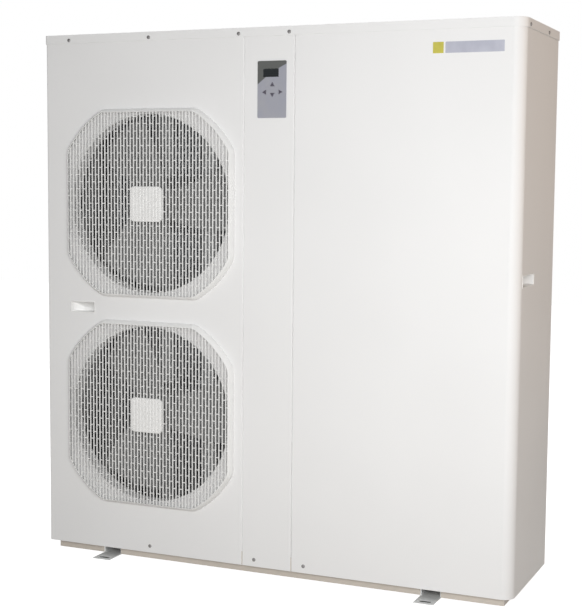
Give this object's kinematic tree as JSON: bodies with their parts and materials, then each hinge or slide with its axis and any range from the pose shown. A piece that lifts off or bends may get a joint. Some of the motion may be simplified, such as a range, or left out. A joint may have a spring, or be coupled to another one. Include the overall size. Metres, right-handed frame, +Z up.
{
  "type": "pool heat pump",
  "caption": "Free-standing pool heat pump: tall sheet-metal casing with guarded axial fans, wrap-round coil, keypad controller, rear water unions and slotted foot rails.",
  "frame": {"origin": "on the ground under the middle of the casing", "axes": "+Z up; the fan guards and the controller face -Y; +X to the right as seen from the front"},
  "size_m": [1.1734, 0.39, 1.25],
  "materials": {
    "white_paint": "satin powder coat",
    "beige_paint": "matt powder coat",
    "galvanised": "zinc coated",
    "white_plastic": "fine grained",
    "grey_plastic": "satin",
    "plate_film": "satin film",
    "window": "gloss",
    "key_rubber": "matt",
    "badge_film": "satin film",
    "dark_screws": "blackened",
    "zinc_bolts": "zinc plated",
    "coil_fins": "fine fins",
    "copper": "drawn tube",
    "black_paint": "satin",
    "black_rubber": "matt",
    "grey_pvc": "smooth",
    "black_plastic": "fine grained",
    "motor_cast": "cast",
    "shaft_steel": "ground",
    "board_green": "solder mask"
  },
  "bodies": {
    "casing": {"base_tray": "beige_paint", "fan_panel": "white_paint", "control_strip": "white_paint", "service_panel": "white_paint", "top_cover": "white_paint", "rear_panel": "white_paint", "rear_corner_post": "white_paint", "partition": "galvanised", "motor_mast": "galvanised", "fan_motors": "motor_cast", "evaporator_coil": "coil_fins", "coil_end_plate": "galvanised", "coil_header": "copper", "front_hand_hold": "white_plastic", "side_hand_hold": "white_plastic", "control_plate": "plate_film", "display_window": "window", "controller_housing": "grey_plastic", "controller_board": "board_green", "blank_badge": "badge_film", "cover_screws": "dark_screws", "panel_screws": "dark_screws", "foot_bolts": "zinc_bolts", "motor_screws": "zinc_bolts", "electrical_box": "galvanised", "terminal_block": "grey_plastic", "contactor": "black_plastic", "capacitors": "black_plastic", "compressor": "black_paint", "compressor_grommets": "black_rubber", "suction_accumulator": "black_paint", "condenser_shell": "grey_pvc", "water_unions": "grey_pvc", "flow_switch": "black_plastic", "cable_glands": "grey_plastic", "reversing_valve": "copper", "discharge_pipe": "copper", "coil_vapour_pipe": "copper", "condenser_vapour_pipe": "copper", "suction_pipe": "copper", "filter_drier": "copper", "expansion_valve": "copper", "liquid_pipe": "copper", "foot_rail_left": "galvanised", "foot_rail_right": "galvanised", "fan_guard_lower": "white_plastic", "fan_guard_upper": "white_plastic", "rear_coil_guard": "white_plastic", "left_coil_guard": "white_plastic"},
    "upper_rotor": {"impeller_upper": "grey_plastic", "fan_shaft_upper": "shaft_steel", "hub_nut_upper": "zinc_bolts"},
    "lower_rotor": {"impeller_lower": "grey_plastic", "fan_shaft_lower": "shaft_steel", "hub_nut_lower": "zinc_bolts"},
    "up_key": {"key_up": "key_rubber"},
    "down_key": {"key_down": "key_rubber"},
    "left_key": {"key_left": "key_rubber"},
    "right_key": {"key_right": "key_rubber"}
  },
  "joints": [
    {"name": "upper_fan_spin", "type": "hinge", "parent": "casing", "child": "upper_rotor", "pos_m": [-0.3005, 0, 0.853], "axis": [0, 1, 0], "continuous": true},
    {"name": "lower_fan_spin", "type": "hinge", "parent": "casing", "child": "lower_rotor", "pos_m": [-0.3005, 0, 0.355], "axis": [0, 1, 0], "continuous": true},
    {"name": "up_key_press", "type": "slide", "parent": "casing", "child": "up_key", "axis": [0, 1, 0], "range_m": [0, 0.0008], "stiffness_N_per_m": 1500},
    {"name": "down_key_press", "type": "slide", "parent": "casing", "child": "down_key", "axis": [0, 1, 0], "range_m": [0, 0.0008], "stiffness_N_per_m": 1500},
    {"name": "left_key_press", "type": "slide", "parent": "casing", "child": "left_key", "axis": [0, 1, 0], "range_m": [0, 0.0008], "stiffness_N_per_m": 1500},
    {"name": "right_key_press", "type": "slide", "parent": "casing", "child": "right_key", "axis": [0, 1, 0], "range_m": [0, 0.0008], "stiffness_N_per_m": 1500}
  ]
}
